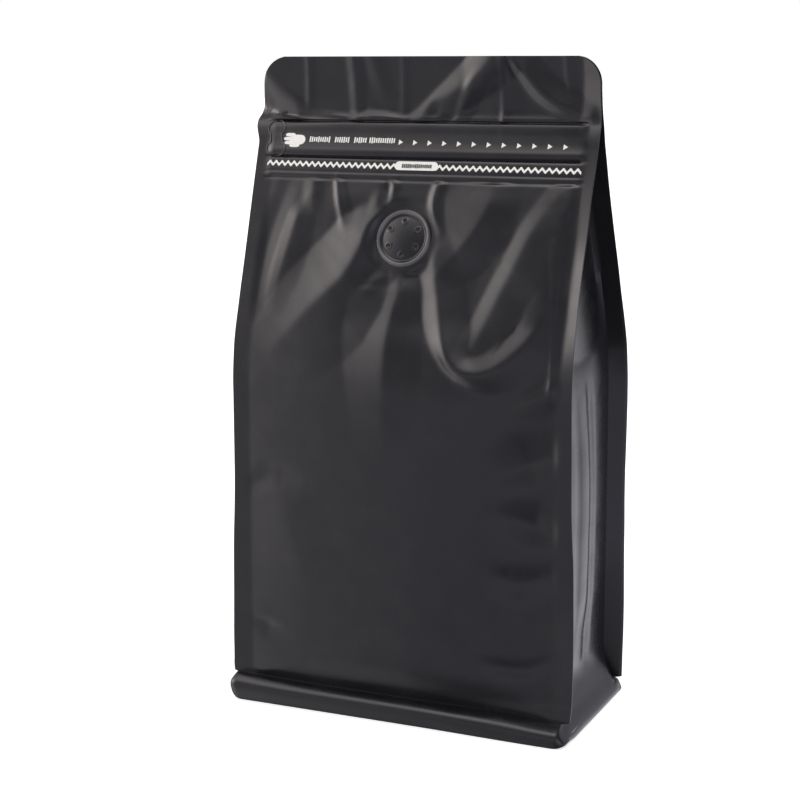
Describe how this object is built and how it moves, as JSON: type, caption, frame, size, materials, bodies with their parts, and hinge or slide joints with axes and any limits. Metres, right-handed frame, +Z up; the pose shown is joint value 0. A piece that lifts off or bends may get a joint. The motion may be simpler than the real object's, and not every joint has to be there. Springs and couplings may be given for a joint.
{
  "type": "coffee bag with valve",
  "caption": "Flat-bottom side-gusset coffee pouch, filled and sealed, with fins down its corners, a pocket-zipper band and a round degassing valve.",
  "frame": {"origin": "centre of the base at floor height", "axes": "+Z up, the front with the valve faces -Y, +X to the right seen from the front"},
  "size_m": [0.13, 0.073, 0.2363],
  "materials": {
    "film": "satin",
    "valve": "satin"
  },
  "bodies": {
    "root": {"bag": "film", "valve": "valve"}
  },
  "joints": []
}
